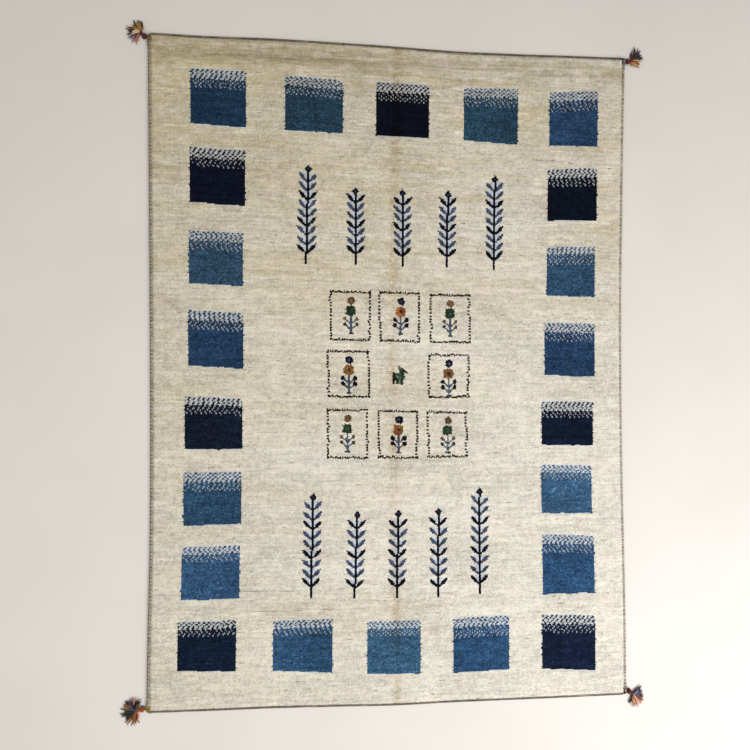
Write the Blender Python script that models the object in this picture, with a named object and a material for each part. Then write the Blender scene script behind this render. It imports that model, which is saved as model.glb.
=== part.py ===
"""A gabbeh rug lying flat: the knotted cloth, its two overcast side cords and four corner tassels.

Metres, +Z up. The origin is at the middle of the underside, +Y runs along the warps towards
the end where the tall trees point, and +X runs along the wefts.
"""

import math
import random

import bmesh
import bpy
from mathutils import Vector

# Driving dimensions
MM = 0.001
THICKNESS = 14 * MM
HEM_WIDTH = 10 * MM
HEM_THICKNESS = 4.5 * MM
CORD_WIDTH = 9 * MM
CORD_HEIGHT = 8.4 * MM
PIECE_GAP = 0.3 * MM
TASSEL_GAP = 0.6 * MM

# The soft trough where the rug was folded lengthwise
FOLD_PLACE = 3 * MM
FOLD_HALF_WIDTH = 26 * MM
FOLD_DEPTH = 1.8 * MM

# The hand-clipped pile is a little higher and lower from place to place
WAVE_HEIGHT = 0.5 * MM
WAVE_LENGTH_ACROSS = 0.46
WAVE_LENGTH_ALONG = 0.61

# Outer face of each side cord, measured out from the middle line, in millimetres
# Columns: place along the rug, left reach, right reach
SIDE_REACH = (
    (-1030, 752.0, 755.5),
    (-772, 749.0, 753.0),
    (-515, 744.0, 747.0),
    (-257, 743.0, 741.0),
    (0, 744.0, 738.0),
    (257, 746.0, 737.0),
    (515, 748.5, 740.0),
    (772, 751.0, 743.0),
    (1030, 753.5, 747.0),
)

# Outer edge of each hem, measured out from the middle, in millimetres
# Columns: place across the rug, bottom reach, top reach
END_REACH = (
    (-752, 1028.0, 1034.5),
    (-564, 1029.0, 1032.0),
    (-376, 1029.5, 1034.0),
    (-188, 1032.5, 1031.0),
    (0, 1037.0, 1027.5),
    (188, 1035.0, 1021.0),
    (376, 1035.0, 1021.0),
    (564, 1035.0, 1023.5),
    (752, 1034.0, 1025.0),
)

NOMINAL_HALF_WIDTH = 738 * MM
NOMINAL_HALF_LENGTH = 1030 * MM
LINES_ACROSS = 13
LINES_ALONG = 21
CORD_STATIONS = 27
CORD_SIDES = 8

# How the pile rounds off: distance in from the edge, share of the full thickness
SIDE_ROUNDING = ((0.0, 0.56), (2.5 * MM, 0.86), (8 * MM, 1.0))
END_ROUNDING = ((0.4 * MM, 0.62), (3 * MM, 0.88), (9 * MM, 1.0))

# A tassel's wrap, neck, knot and root, along its spine
# Columns: share of the spine, half width in millimetres, height in millimetres
HEAD_STATIONS = (
    (0.00, 8.0, 7.5),
    (0.10, 10.0, 9.5),
    (0.24, 9.5, 9.8),
    (0.34, 6.3, 8.0),
    (0.46, 8.6, 11.4),
    (0.64, 8.8, 12.0),
    (0.76, 5.8, 8.6),
    (0.90, 7.6, 9.0),
    (1.04, 8.4, 9.2),
    (1.18, 7.0, 8.2),
    (1.28, 3.6, 6.0),
)
HEAD_SIDES = 10

# One row for each tassel, lengths in millimetres and angles in degrees
# Columns: name, side, end, wrap's place along, root's place across, root's place along,
# middle of the fan, spread of the fan, strand length
TASSELS = (
    ("tassel_top_left", -1, 1, 1017, -776, 1034, 160, 150, 49),
    ("tassel_top_right", 1, 1, 1011, 771, 1017, 34, 150, 48),
    ("tassel_bottom_left", -1, -1, -1013, -783, -1017, 177, 200, 50),
    ("tassel_bottom_right", 1, -1, -1018, 777, -1031, -22, 150, 48),
)
WRAP_HALF_LENGTH = 10 * MM
LOW_STRANDS = 12
HIGH_STRANDS = 11
STRAND_SEED = 41
SHORTEST_STRAND = 0.78
MOST_SWAY = 0.24

# A strand from its root to its tip, in millimetres; the last two rows stretch with its length
# Columns: distance from the root, width, height, lift of the low layer, lift of the high layer
STRAND_STATIONS = (
    (5.0, 1.0, 2.2, 1.6, 4.6),
    (8.0, 1.4, 2.4, 1.0, 4.2),
    (14.0, 2.6, 2.8, 0.0, 3.5),
    (20.0, 3.2, 3.0, 0.0, 3.4),
    (34.0, 3.4, 3.0, 0.0, 3.4),
    (48.0, 2.4, 2.4, 0.0, 3.4),
)
FIXED_STATIONS = 4

# Colours: red, green, blue, then roughness
WOOL_IVORY = (0.62, 0.56, 0.42, 0.95)
CORD_WOOL = (0.24, 0.19, 0.13, 0.95)
TASSEL_WOOL = (0.20, 0.09, 0.05, 0.95)


def clear_scene():
    for thing in list(bpy.data.objects):
        bpy.data.objects.remove(thing, do_unlink=True)


def wool(name, colour):
    material = bpy.data.materials.new(name)
    material.use_nodes = True
    shader = material.node_tree.nodes["Principled BSDF"]
    shader.inputs["Base Color"].default_value = (*colour[:3], 1.0)
    shader.inputs["Roughness"].default_value = colour[3]
    shader.inputs["Metallic"].default_value = 0.0
    material.diffuse_color = (*colour[:3], 1.0)
    return material


def make_object(name, mesh, material):
    bmesh.ops.recalc_face_normals(mesh, faces=mesh.faces)
    data = bpy.data.meshes.new(name)
    mesh.to_mesh(data)
    mesh.free()
    data.materials.append(material)
    data.shade_smooth()
    data.set_sharp_from_angle(angle=math.radians(40))
    made = bpy.data.objects.new(name, data)
    bpy.context.collection.objects.link(made)
    return made


def reach(table, column, place):
    """The table's value at a place, on a smooth curve through its evenly spaced rows."""
    step = table[1][0] - table[0][0]
    share = (place / MM - table[0][0]) / step
    share = min(max(share, 0.0), len(table) - 1.0)
    first = min(int(share), len(table) - 2)
    t = share - first
    rows = [min(max(first + shift, 0), len(table) - 1) for shift in (-1, 0, 1, 2)]
    before, start, end, after = (table[row][column] for row in rows)
    bend = 2 * start - 2 * end + (end - before) / 2 + (after - start) / 2
    lean = 3 * (end - start) - (end - before) - (after - start) / 2
    return (start + t * (end - before) / 2 + t * t * lean + t * t * t * bend) * MM


def cloth_place(across, along):
    """Where a point of the cloth, given on a true rectangle, lies within the real outline."""
    low = -reach(END_REACH, 1, across)
    high = reach(END_REACH, 2, across)
    y = low + (high - low) * (along + NOMINAL_HALF_LENGTH) / (2 * NOMINAL_HALF_LENGTH)
    cord = CORD_WIDTH + PIECE_GAP
    left = -reach(SIDE_REACH, 1, y) + cord
    right = reach(SIDE_REACH, 2, y) - cord
    x = left + (right - left) * (across + NOMINAL_HALF_WIDTH) / (2 * NOMINAL_HALF_WIDTH)
    return x, y


def rounded(distance, rounding):
    """Height of the pile at a distance in from where it starts."""
    for (near, low), (far, high) in zip(rounding, rounding[1:]):
        if distance <= far:
            share = max(distance - near, 0.0) / (far - near)
            return THICKNESS * (low + (high - low) * share)
    return THICKNESS


def pile_height(across, along, x, y):
    from_side = NOMINAL_HALF_WIDTH - abs(across)
    from_end = NOMINAL_HALF_LENGTH - abs(along)
    if from_end < HEM_WIDTH + END_ROUNDING[0][0] / 2:
        return HEM_THICKNESS
    edge = min(rounded(from_side, SIDE_ROUNDING), rounded(from_end - HEM_WIDTH, END_ROUNDING))
    inside = edge / THICKNESS
    wave = math.sin(2 * math.pi * x / WAVE_LENGTH_ACROSS) * math.cos(2 * math.pi * y / WAVE_LENGTH_ALONG)
    trough = max(0.0, 1.0 - abs(x - FOLD_PLACE) / FOLD_HALF_WIDTH)
    return edge + inside * WAVE_HEIGHT * wave - inside * FOLD_DEPTH * trough * trough


def grid_lines(half, count, rims, extra):
    """Places of the mesh lines on one axis: close together at the rims, even between them."""
    inner = half - max(rims)
    lines = [inner * (2 * step / count - 1) for step in range(count + 1)]
    lines = [line for line in lines if all(abs(line - other) > FOLD_HALF_WIDTH / 3 for other in extra)]
    for rim in rims[:-1]:
        lines += [half - rim, rim - half]
    return sorted(lines + list(extra))


def make_cloth(material):
    side_rims = [distance for distance, _ in SIDE_ROUNDING]
    end_rims = [0.0, HEM_WIDTH] + [HEM_WIDTH + distance for distance, _ in END_ROUNDING]
    fold = [FOLD_PLACE + share * FOLD_HALF_WIDTH for share in (-1.0, -0.5, 0.0, 0.5, 1.0)]
    columns = grid_lines(NOMINAL_HALF_WIDTH, LINES_ACROSS, side_rims, fold)
    rows = grid_lines(NOMINAL_HALF_LENGTH, LINES_ALONG, end_rims, ())
    mesh = bmesh.new()
    top = []
    for along in rows:
        line = []
        for across in columns:
            x, y = cloth_place(across, along)
            line.append(mesh.verts.new((x, y, pile_height(across, along, x, y))))
        top.append(line)
    for low, high in zip(top, top[1:]):
        for step in range(len(columns) - 1):
            mesh.faces.new((low[step], low[step + 1], high[step + 1], high[step]))
    rim = top[0] + [line[-1] for line in top[1:]] + top[-1][-2::-1] + [line[0] for line in top[-2:0:-1]]
    foot = [mesh.verts.new((vert.co.x, vert.co.y, 0.0)) for vert in rim]
    for step in range(len(rim)):
        after = (step + 1) % len(rim)
        mesh.faces.new((rim[step], foot[step], foot[after], rim[after]))
    mesh.faces.new(foot[::-1])
    return make_object("rug_body", mesh, material)


def loft(mesh, rings):
    """Closed skin over rings that hold equally many points."""
    loops = [[mesh.verts.new(point) for point in ring] for ring in rings]
    for low, high in zip(loops, loops[1:]):
        for step in range(len(low)):
            after = (step + 1) % len(low)
            mesh.faces.new((low[step], low[after], high[after], high[step]))
    mesh.faces.new(loops[0][::-1])
    mesh.faces.new(loops[-1])


def resting_ring(centre, direction, half_width, height, sides):
    """A round section that stands across a direction and is flat where it meets the floor."""
    across = Vector((-direction.y, direction.x, 0.0)).normalized()
    ring = []
    for step in range(sides):
        angle = 2 * math.pi * (step + 0.5) / sides
        rise = height * (0.44 + 0.56 * math.sin(angle))
        point = Vector((centre.x, centre.y, 0.0)) + across * (half_width * math.cos(angle))
        ring.append((point.x, point.y, max(rise, 0.0)))
    return ring


def make_side_cord(name, side, material):
    """The overcast cord along one side, between the wraps of its two tassels."""
    wraps = sorted(row[3] * MM for row in TASSELS if row[1] == side)
    start = wraps[0] + WRAP_HALF_LENGTH + TASSEL_GAP
    end = wraps[1] - WRAP_HALF_LENGTH - TASSEL_GAP
    column = 1 if side < 0 else 2
    rings = []
    for step in range(CORD_STATIONS):
        y = start + (end - start) * step / (CORD_STATIONS - 1)
        x = side * (reach(SIDE_REACH, column, y) - CORD_WIDTH / 2)
        half = CORD_WIDTH / 2 / math.cos(math.pi / CORD_SIDES)
        rings.append(resting_ring(Vector((x, y, 0.0)), Vector((0, 1, 0)), half, CORD_HEIGHT, CORD_SIDES))
    mesh = bmesh.new()
    loft(mesh, rings)
    return make_object(name, mesh, material)


def spine_point(points, share):
    """Place and direction on the curved spine from the rug's side to the tassel's root."""
    start, bend, root = points
    if share > 1.0:
        direction = (root - bend).normalized()
        return root + direction * (share - 1.0) * (root - start).length, direction
    place = start.lerp(bend, share).lerp(bend.lerp(root, share), share)
    direction = (bend - start).lerp(root - bend, share).normalized()
    return place, direction


def head_rings(side, end, wrap_y, root):
    column = 1 if side < 0 else 2
    edge = side * (reach(SIDE_REACH, column, wrap_y) - CORD_WIDTH + TASSEL_GAP)
    start = Vector((edge, wrap_y, 0.0))
    bend = start + Vector((side, 0.0, 0.0)) * (root - start).length / 2
    rings = []
    for share, half_width, height in HEAD_STATIONS:
        place, direction = spine_point((start, bend, root), share)
        rings.append(resting_ring(place, direction, half_width * MM, height * MM, HEAD_SIDES))
    return rings


def strand_rings(root, angle, sway, length, lift_column):
    rings = []
    longest = STRAND_STATIONS[-1][0]
    for number, station in enumerate(STRAND_STATIONS):
        distance, width, height = (value * MM for value in station[:3])
        lift = station[lift_column] * MM
        if number >= FIXED_STATIONS:
            distance *= length / (longest * MM)
        bent = angle + sway * max(0.0, (distance - 8 * MM) / (length - 8 * MM)) ** 2
        outward = Vector((math.cos(bent), math.sin(bent), 0.0))
        sideways = Vector((-outward.y, outward.x, 0.0)) * width / 2
        middle = root + outward * distance
        ring = [middle - sideways, middle + sideways, middle + sideways * 0.6, middle - sideways * 0.6]
        rises = (lift, lift, lift + height, lift + height)
        rings.append([(point.x, point.y, rise) for point, rise in zip(ring, rises)])
    return rings


def make_strands(name, root, middle, spread, length, draw, material):
    """All loose strands of one tassel, in two layers that fan out from its root."""
    mesh = bmesh.new()
    step = spread / LOW_STRANDS
    for layer, count in enumerate((LOW_STRANDS, HIGH_STRANDS)):
        for number in range(count):
            angle = middle + step * (number - (count - 1) / 2)
            sway = step * MOST_SWAY * draw.uniform(-1.0, 1.0)
            share = draw.uniform(SHORTEST_STRAND, 1.0)
            rings = strand_rings(root, angle, sway, length * share, 3 + layer)
            loft(mesh, rings)
    strands = make_object(name, mesh, material)
    strands.hide_render = True
    strands.display_type = "WIRE"
    return strands


def make_tassel(row, material, draw):
    name, side, end, wrap_y, root_x, root_y, middle, spread, length = row
    root = Vector((root_x * MM, root_y * MM, 0.0))
    mesh = bmesh.new()
    loft(mesh, head_rings(side, end, wrap_y * MM, root))
    tassel = make_object(name, mesh, material)
    angles = math.radians(middle), math.radians(spread)
    strands = make_strands(name + "_strands", root, *angles, length * MM, draw, material)
    joined = tassel.modifiers.new("strands", "BOOLEAN")
    joined.operation = "UNION"
    joined.object = strands
    return tassel


def main():
    clear_scene()
    draw = random.Random(STRAND_SEED)
    make_cloth(wool("ivory wool", WOOL_IVORY))
    cord_wool = wool("side cord wool", CORD_WOOL)
    make_side_cord("selvedge_left", -1, cord_wool)
    make_side_cord("selvedge_right", 1, cord_wool)
    for row in TASSELS:
        make_tassel(row, wool(row[0] + " wool", TASSEL_WOOL), draw)


main()
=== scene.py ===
"""A gabbeh rug on a pale floor, seen from straight above: wool pile knotted by a chart, woven ends,
overcast side cords and four corner tassels.

Metres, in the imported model's frame: +Z up, +Y along the warps, +X along the wefts.
"""

import math

import bpy
import numpy as np
from mathutils import Matrix, Vector


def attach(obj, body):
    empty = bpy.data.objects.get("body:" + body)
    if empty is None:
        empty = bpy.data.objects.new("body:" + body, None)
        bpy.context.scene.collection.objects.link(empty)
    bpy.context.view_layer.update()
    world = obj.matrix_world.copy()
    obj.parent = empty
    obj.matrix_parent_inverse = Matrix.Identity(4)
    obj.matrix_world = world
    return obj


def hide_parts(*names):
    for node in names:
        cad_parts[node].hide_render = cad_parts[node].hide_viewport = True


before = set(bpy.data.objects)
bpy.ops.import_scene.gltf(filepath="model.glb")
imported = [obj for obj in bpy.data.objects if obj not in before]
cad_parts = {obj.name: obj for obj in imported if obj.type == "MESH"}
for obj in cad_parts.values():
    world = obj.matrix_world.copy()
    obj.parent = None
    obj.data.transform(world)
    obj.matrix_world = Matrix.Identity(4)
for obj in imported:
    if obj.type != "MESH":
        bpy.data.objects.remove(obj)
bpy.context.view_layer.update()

# Driving dimensions, the same as the solids have
MM = 0.001
THICKNESS = 14 * MM
HEM_WIDTH = 10 * MM
HEM_THICKNESS = 4.5 * MM
CORD_WIDTH = 9 * MM
CORD_HEIGHT = 8.4 * MM
PIECE_GAP = 0.3 * MM
TASSEL_GAP = 0.6 * MM
WRAP_HALF_LENGTH = 10 * MM
NOMINAL_HALF_WIDTH = 738 * MM
NOMINAL_HALF_LENGTH = 1030 * MM
PILE_HALF_LENGTH = NOMINAL_HALF_LENGTH - HEM_WIDTH

# The soft trough where the rug was folded lengthwise, and the low waves of hand-clipped pile
FOLD_PLACE = 3 * MM
FOLD_HALF_WIDTH = 26 * MM
FOLD_DEPTH = 1.8 * MM
WAVE_HEIGHT = 0.5 * MM
WAVE_LENGTH_ACROSS = 0.46
WAVE_LENGTH_ALONG = 0.61

# Outer face of each side cord, measured out from the middle line, in millimetres
# Columns: place along the rug, left reach, right reach
SIDE_REACH = (
    (-1030, 752.0, 755.5),
    (-772, 749.0, 753.0),
    (-515, 744.0, 747.0),
    (-257, 743.0, 741.0),
    (0, 744.0, 738.0),
    (257, 746.0, 737.0),
    (515, 748.5, 740.0),
    (772, 751.0, 743.0),
    (1030, 753.5, 747.0),
)

# Outer edge of each hem, measured out from the middle, in millimetres
# Columns: place across the rug, bottom reach, top reach
END_REACH = (
    (-752, 1028.0, 1034.5),
    (-564, 1029.0, 1032.0),
    (-376, 1029.5, 1034.0),
    (-188, 1032.5, 1031.0),
    (0, 1037.0, 1027.5),
    (188, 1035.0, 1021.0),
    (376, 1035.0, 1021.0),
    (564, 1035.0, 1023.5),
    (752, 1034.0, 1025.0),
)

# How the pile rounds off: distance in from the edge, share of the full thickness
SIDE_ROUNDING = ((0.0, 0.56), (2.5 * MM, 0.86), (8 * MM, 1.0))
END_ROUNDING = ((0.4 * MM, 0.62), (3 * MM, 0.88), (9 * MM, 1.0))

# The weaver's grid: knots across, rows along
KNOTS = 400
ROWS = 720
STRIPS = 5
KNOT_ASPECT = (2 * NOMINAL_HALF_WIDTH / KNOTS) / (2 * PILE_HALF_LENGTH / ROWS)

# Seeds of the random draws
CHART_SEED = 7
PILE_SEED = 11
RIM_SEED = 23
HEM_SEED = 31
CORD_SEED = 53
TASSEL_SEED = 71

# Dyed and undyed wools, as display colours, and the colours of painted shade
IVORY = (211, 206, 193)
CREAM = (228, 221, 202)
# OLIVE_IVORY also gives the painted shade towards the top and the left.
OLIVE_IVORY = (188, 175, 140)
GREY_IVORY = (176, 168, 152)
ROSE_IVORY = (214, 200, 190)
DARK_OLIVE = (150, 138, 108)
BLED_IVORY = (180, 190, 202)
BLACK_NAVY = (12, 15, 24)
BLACK_BROWN = (30, 24, 22)
# Painted shade in the crease of the fold
FOLD_SHADE_BROWN = (164, 136, 92)

# Blue squares, each dyed in its own lot
# Columns: first and last column, foot's row at the left and right, top's row at the left and right,
# bands of open and of close dots, wool
SQUARES = (
    (31.5, 77.1, 627.5, 625.1, 686.5, 684.8, 5, 5, (31, 53, 76)),
    (108.8, 156.6, 623.1, 622.8, 682.3, 680.1, 5, 5, (37, 60, 78)),
    (184.7, 230.4, 622.6, 623.2, 680.9, 680.9, 5, 5, (9, 15, 26)),
    (259.5, 306.6, 622.6, 620.3, 681.6, 681.6, 5, 5, (38, 62, 80)),
    (334.6, 377.5, 619.9, 619.7, 679.6, 682.3, 5, 6, (39, 62, 90)),
    (30.9, 76.3, 543.0, 540.2, 601.9, 599.2, 5, 5, (13, 18, 33)),
    (30.0, 74.4, 456.7, 453.5, 512.7, 510.9, 5, 5, (48, 72, 94)),
    (28.6, 73.7, 368.0, 365.1, 427.8, 424.5, 5, 5, (35, 57, 84)),
    (26.4, 73.3, 279.3, 278.6, 335.0, 332.5, 4, 5, (18, 25, 40)),
    (24.8, 71.7, 197.0, 198.4, 253.4, 254.2, 5, 5, (43, 71, 96)),
    (24.2, 70.9, 117.9, 117.4, 173.6, 175.0, 4, 4, (50, 79, 111)),
    (333.8, 377.9, 535.3, 536.1, 592.3, 595.5, 5, 5, (10, 17, 29)),
    (333.5, 377.3, 451.3, 449.7, 505.3, 506.7, 4, 6, (44, 69, 93)),
    (331.8, 376.9, 362.0, 359.2, 420.3, 419.0, 5, 5, (36, 58, 86)),
    (329.2, 374.7, 283.7, 282.1, 332.3, 330.7, 5, 4, (15, 23, 39)),
    (328.2, 373.3, 206.8, 205.2, 261.0, 259.0, 4, 4, (55, 85, 113)),
    (327.6, 373.7, 115.7, 115.1, 182.3, 179.9, 5, 5, (44, 73, 105)),
    (21.9, 68.7, 42.3, 40.1, 93.7, 94.7, 4, 4, (16, 27, 44)),
    (99.3, 147.8, 39.1, 35.3, 92.4, 93.6, 4, 4, (45, 74, 103)),
    (176.8, 221.7, 33.9, 32.5, 91.2, 91.2, 4, 4, (53, 83, 108)),
    (249.6, 298.2, 30.9, 33.7, 91.2, 93.4, 5, 6, (42, 71, 102)),
    (327.2, 374.1, 32.0, 28.1, 92.4, 89.4, 5, 5, (19, 28, 48)),
)
BAND_ROWS = 2
OPEN_BLEED = 0.16
CLOSE_BLEED = 0.45
DOT_PITCH = 4

# Unevenness of hand-spun wool: rows and knots that a patch spans, strength
UNEVEN_WOOL = (
    (1.0, 7, 0.12),
    (2.2, 34, 0.08),
    (6.0, 1, 0.06),
    (2.6, 3, 0.10),
    (9.0, 10, 0.07),
    (34.0, 42, 0.07),
)
KNOT_UNEVENNESS = 0.11
LIGHT_WEIGHTS = (0.3, 0.59, 0.11)
DYED_BELOW = 0.2
DYED_KNOTS = 3.0
DYED_PATCHES = 1.9
LIGHTEST = 0.12

# Trees: the stem's column at its foot and its top, lowest and highest row, pairs of leaves
TREES = (
    (126.3, 128.3, 479.0, 587.5, 9),
    (168.1, 167.7, 480.0, 565.6, 7),
    (207.6, 207.6, 480.0, 565.6, 7),
    (246.1, 246.7, 481.0, 566.6, 7),
    (287.0, 287.6, 479.0, 585.5, 9),
    (129.7, 131.5, 116.7, 231.1, 9),
    (166.1, 168.5, 115.7, 212.2, 7),
    (201.6, 203.4, 115.7, 213.2, 7),
    (237.1, 237.7, 115.7, 215.2, 7),
    (272.6, 273.6, 117.7, 237.1, 9),
)
TREE_LEAVES = (BLACK_NAVY, (54, 66, 84), (62, 68, 92))
TREE_TIP = (36, 40, 62)

# Dotted panels: first and last column, lowest and highest row, kind of flower, its middle column
PANELS = (
    (146.0, 180.5, 396.9, 452.1, "green", 163.9),
    (187.7, 223.0, 396.4, 452.8, "orange", 206.4),
    (231.0, 266.6, 396.9, 452.1, "green", 248.9),
    (143.5, 179.5, 334.7, 387.4, "gold", 162.1),
    (229.5, 265.2, 336.0, 385.4, "brown", 247.5),
    (143.0, 178.5, 268.3, 323.5, "green", 160.5),
    (186.2, 220.8, 269.0, 323.2, "rust", 204.0),
    (228.5, 263.8, 270.3, 322.7, "green", 246.5),
)
FLOWER_DROP = 7.0
INDIGO = (20, 21, 34)
INDIGO_HEART = (66, 64, 84)
FLOWER_WOOLS = {
    "green": {"upper": (96, 74, 52), "upper_heart": (124, 94, 66), "lower": (36, 49, 35),
              "lower_heart": (48, 70, 58), "bud": (98, 76, 60)},
    "orange": {"upper": INDIGO, "upper_heart": INDIGO_HEART, "lower": (146, 88, 46),
               "side": (116, 68, 38), "lower_heart": (44, 34, 32), "bud": (18, 16, 26)},
    "gold": {"upper": INDIGO, "upper_heart": INDIGO_HEART, "lower": (108, 72, 38),
             "side": (108, 74, 42), "lower_heart": (58, 42, 24), "bud": (18, 16, 26)},
    "brown": {"upper": INDIGO, "upper_heart": INDIGO_HEART, "lower": (102, 70, 40),
              "side": (98, 70, 44), "lower_heart": (52, 38, 26), "bud": (18, 16, 26)},
    "rust": {"upper": INDIGO, "upper_heart": INDIGO_HEART, "lower": (120, 72, 42),
             "side": (104, 82, 46), "lower_heart": (66, 52, 32), "bud": (18, 16, 26)},
}
LOW_BUD = (48, 50, 46)
STEM_BLUE = (62, 74, 90)

# The goat's strokes from its lower left corner, in knots and rows, then widths in rows and wool
GOAT_CORNER = (198.9, 350.6)
GOAT_GREEN = (42, 58, 44)
GOAT = (
    ((2.4, 9.6), (8.0, 8.4), 6.4, 7.0, (52, 80, 64)),
    ((1.2, 11.9), (1.8, 5.9), 3.0, 2.8, (38, 44, 34)),
    ((6.8, 16.6), (9.3, 15.1), 4.4, 4.2, (56, 74, 58)),
    ((7.8, 15.1), (8.7, 9.4), 4.0, 4.0, GOAT_GREEN),
    ((5.4, 19.3), (8.0, 17.2), 1.9, 2.0, (74, 60, 44)),
    ((9.3, 15.7), (12.3, 13.4), 3.0, 1.8, (30, 30, 18)),
    ((1.4, 5.4), (1.2, 1.6), 2.9, 2.7, (24, 22, 14)),
    ((3.7, 6.5), (4.2, 1.4), 2.7, 2.5, (44, 54, 36)),
    ((8.4, 9.4), (8.1, 0.8), 3.2, 2.8, (44, 54, 40)),
    ((6.3, 5.9), (6.1, 1.2), 2.5, 2.3, (96, 108, 88)),
    ((3.6, 9.0), (4.6, 8.6), 1.6, 1.6, (120, 146, 128)),
)

# Where the ivory darkens below the top edge, in rows, and how far dye bleeds into its neighbours
TOP_BAND_ROW = 704
TOP_BAND_SPREAD = 11
FOLD_WANDER = 3.4
FOLD_SHADE_WIDTH = 4.2
BLEED = 0.7
BLEED_REACH = 5

# Single darker rows of wool in the ivory: row, first and last column, strength
GREY_ROWS = (
    (158, 2, 24, 0.55),
    (165, 88, 128, 0.50),
    (125, 74, 122, 0.60),
    (124, 92, 116, 0.35),
    (123, 2, 22, 0.50),
    (103, 74, 122, 0.55),
    (101, 96, 118, 0.35),
    (104, 140, 176, 0.40),
    (186, 108, 130, 0.35),
    (202, 100, 124, 0.30),
    (207, 70, 84, 0.40),
    (657, 82, 132, 0.35),
    (700, 96, 118, 0.45),
    (574, 128, 150, 0.35),
    (250, 240, 330, 0.30),
    (470, 78, 120, 0.30),
    (296, 84, 130, 0.30),
    (352, 284, 326, 0.30),
)
DARK_HAIR = (92, 82, 74)
HAIR_FLECKS = 700

# One row for each tassel, lengths in millimetres
# Columns: name, side, end, wrap's place along, root's place across, root's place along
TASSELS = (
    ("tassel_top_left", -1, 1, 1017, -776, 1034),
    ("tassel_top_right", 1, 1, 1011, 771, 1017),
    ("tassel_bottom_left", -1, -1, -1013, -783, -1017),
    ("tassel_bottom_right", 1, -1, -1018, 777, -1031),
)

YARNS = {
    "black": (22, 20, 24),
    "olive_black": (44, 42, 26),
    "dark_green": (34, 52, 38),
    "olive": (104, 98, 52),
    "ochre": (150, 132, 62),
    "gold": (164, 120, 56),
    "tan": (176, 148, 110),
    "cream": (206, 190, 160),
    "rust": (142, 76, 42),
    "salmon": (186, 122, 100),
    "brown": (74, 46, 34),
    "maroon": (88, 36, 42),
    # A painted highlight: lilac strands stand in for the sheen of light on the dark slate, purple and
    # brown yarns.
    "purple": (74, 52, 84),
    "lilac_highlight": (142, 130, 148),
    "slate": (84, 98, 122),
    "navy": (28, 34, 58),
}

# Each tassel's wrap, its knot, then its locks of yarn
# Columns of the locks: angle at the root and curl in degrees, length in millimetres, layer, colour
TASSEL_LOCKS = {
    "tassel_top_left": ("olive", "maroon", (
        (74, 30, 41, 0, "dark_green"), (92, 20, 28, 1, "gold"), (108, -20, 40, 0, "gold"),
        (120, 26, 38, 0, "olive"), (134, -24, 42, 0, "dark_green"), (150, 22, 41, 0, "rust"),
        (163, -20, 43, 0, "brown"), (178, 24, 42, 0, "brown"), (190, -28, 39, 0, "black"),
        (203, 20, 41, 0, "lilac_highlight"), (216, -24, 33, 0, "brown"), (230, 26, 38, 0, "salmon"),
        # The cream locks laid on top at 168 and 188 degrees are partly cream yarn and partly a painted
        # highlight in the tassel's middle.
        (246, -18, 26, 0, "rust"), (55, 40, 18, 1, "rust"), (168, 30, 24, 1, "cream"),
        (188, -36, 27, 1, "cream"), (140, 20, 22, 1, "gold"), (206, 24, 24, 1, "maroon"))),
    "tassel_top_right": ("dark_green", "maroon", (
        (92, -20, 24, 0, "maroon"), (74, -22, 40, 0, "brown"), (60, 14, 46, 0, "black"),
        (50, -18, 43, 0, "purple"), (40, 20, 41, 0, "maroon"), (29, -22, 40, 0, "black"),
        (18, 16, 36, 0, "dark_green"), (9, -14, 41, 0, "cream"), (-3, 18, 34, 0, "olive"),
        (-12, -20, 32, 0, "gold"), (-24, 16, 33, 0, "rust"), (-38, -18, 28, 0, "tan"),
        (-58, 16, 24, 0, "tan"), (-76, -10, 18, 0, "gold"), (32, 26, 24, 1, "olive_black"),
        (4, -20, 22, 1, "gold"), (56, 20, 25, 1, "black"), (-20, 24, 22, 1, "rust"))),
    "tassel_bottom_left": ("ochre", "rust", (
        (112, -78, 46, 1, "black"), (104, 8, 39, 0, "salmon"), (82, -30, 26, 0, "brown"),
        (62, 34, 22, 0, "olive"), (116, 14, 37, 0, "maroon"), (126, -12, 38, 0, "purple"),
        (138, 16, 37, 0, "maroon"), (148, -20, 43, 0, "black"), (162, 18, 41, 0, "olive"),
        (176, -16, 38, 0, "gold"), (188, 14, 47, 0, "dark_green"), (200, -12, 48, 0, "olive_black"),
        (212, 16, 47, 0, "dark_green"), (224, -18, 45, 0, "black"), (236, 16, 50, 0, "gold"),
        (249, -14, 49, 0, "brown"), (262, 18, 47, 0, "rust"), (276, -24, 40, 0, "brown"),
        (291, -36, 38, 0, "salmon"), (150, 20, 22, 1, "slate"), (196, -24, 26, 1, "dark_green"),
        (128, 22, 24, 1, "purple"), (256, 20, 27, 1, "rust"), (228, 14, 26, 1, "olive_black"))),
    "tassel_bottom_right": ("olive_black", "maroon", (
        (44, -34, 38, 0, "black"), (30, 18, 36, 0, "navy"), (18, -24, 40, 0, "slate"),
        (8, -40, 43, 0, "black"), (-2, 16, 38, 0, "lilac_highlight"), (-13, -18, 41, 0, "black"),
        (-24, 8, 48, 0, "maroon"), (-34, -14, 47, 0, "salmon"), (-44, 16, 45, 0, "rust"),
        (-54, -14, 38, 0, "brown"), (-62, 12, 48, 0, "salmon"), (-71, -12, 44, 0, "tan"),
        (-80, 12, 46, 0, "salmon"), (-90, -12, 37, 0, "olive_black"), (-102, 14, 24, 0, "black"),
        (22, 26, 24, 1, "lilac_highlight"), (-6, -26, 26, 1, "slate"), (-28, 24, 26, 1, "maroon"),
        (-50, -24, 27, 1, "cream"), (-68, 24, 26, 1, "rust"))),
}
STRANDS_PER_LOCK = 5

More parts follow.
